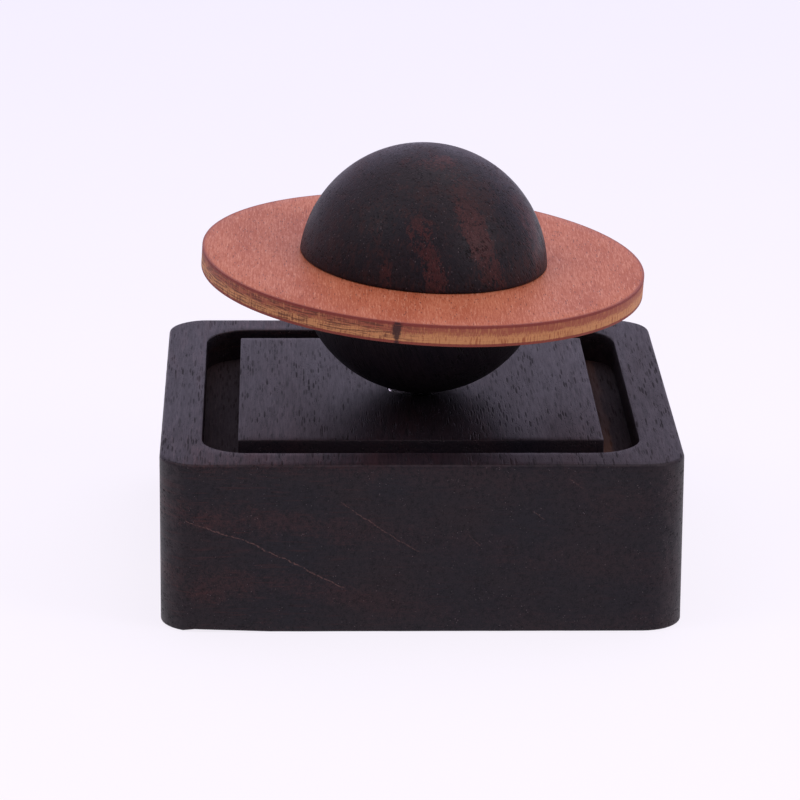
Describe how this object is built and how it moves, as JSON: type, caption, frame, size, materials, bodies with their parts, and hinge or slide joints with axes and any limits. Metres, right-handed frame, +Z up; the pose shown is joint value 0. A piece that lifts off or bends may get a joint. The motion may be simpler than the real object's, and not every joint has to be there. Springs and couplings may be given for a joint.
{
  "type": "ringed planet puzzle box",
  "caption": "Low square hardwood puzzle box: a ringed wooden planet is held by magnets on a plate that slides in a shallow pocket, and a drawer runs out of the back.",
  "frame": {"origin": "centre of the box's underside", "axes": "+Z up, +X to the right and +Y to the back, seen from the side opposite the drawer"},
  "size_m": [0.07, 0.07, 0.0588],
  "materials": {
    "dark_hardwood": "satin oiled open-pored dark hardwood",
    "ball_hardwood": "satin oiled dark hardwood with reddish streaks",
    "ring_plywood": "red-brown stained three-ply sheet, laser-cut edge",
    "inner_plywood": "bare birch plywood",
    "beech": "bare beech",
    "nickel_magnet": "nickel-plated",
    "brass": "turned",
    "steel": "zinc-plated"
  },
  "bodies": {
    "box": {"box_frame": "dark_hardwood", "pocket_floor": "dark_hardwood", "middle_panel": "inner_plywood", "bottom_panel": "dark_hardwood", "x_rail_front": "beech", "x_rail_back": "beech", "drawer_runner_left": "beech", "drawer_runner_right": "beech", "catch_block": "beech", "catch_magnet": "nickel_magnet", "bottom_screw_front_left": "steel", "bottom_screw_front_right": "steel", "bottom_screw_back_left": "steel", "bottom_screw_back_right": "steel"},
    "x_carriage": {"x_slide": "inner_plywood"},
    "plate": {"top_plate": "dark_hardwood", "plate_neck": "beech", "y_slide": "inner_plywood", "neck_screw_1": "steel", "neck_screw_2": "steel"},
    "magnet_turntable": {"plate_magnet": "nickel_magnet", "magnet_spindle": "brass", "spindle_clip": "steel"},
    "planet": {"planet_upper_half": "ball_hardwood", "planet_lower_half": "ball_hardwood", "planet_dowel": "beech", "planet_magnet": "nickel_magnet"},
    "ring": {"planet_ring": "ring_plywood"},
    "drawer": {"drawer_tray": "beech", "drawer_face": "dark_hardwood", "drawer_magnet": "nickel_magnet"}
  },
  "joints": [
    {"name": "plate_left_right", "type": "slide", "parent": "box", "child": "x_carriage", "axis": [1, 0, 0], "range_m": [-0.0027, 0.0027]},
    {"name": "plate_front_back", "type": "slide", "parent": "x_carriage", "child": "plate", "axis": [0, 1, 0], "range_m": [-0.0027, 0.0027]},
    {"name": "planet_turn", "type": "hinge", "parent": "plate", "child": "magnet_turntable", "pos_m": [0, 0, 0.0228], "axis": [0, 0, 1], "continuous": true},
    {"name": "planet_lift", "type": "slide", "parent": "magnet_turntable", "child": "planet", "axis": [0, 0, 1], "range_m": [0, 0.04]},
    {"name": "ring_turn", "type": "hinge", "parent": "planet", "child": "ring", "pos_m": [0.00085, -0.00049, 0.04135], "axis": [0.0619, -0.0357, 0.9974], "continuous": true},
    {"name": "drawer_slide", "type": "slide", "parent": "box", "child": "drawer", "axis": [0, 1, 0], "range_m": [0, 0.055]}
  ]
}
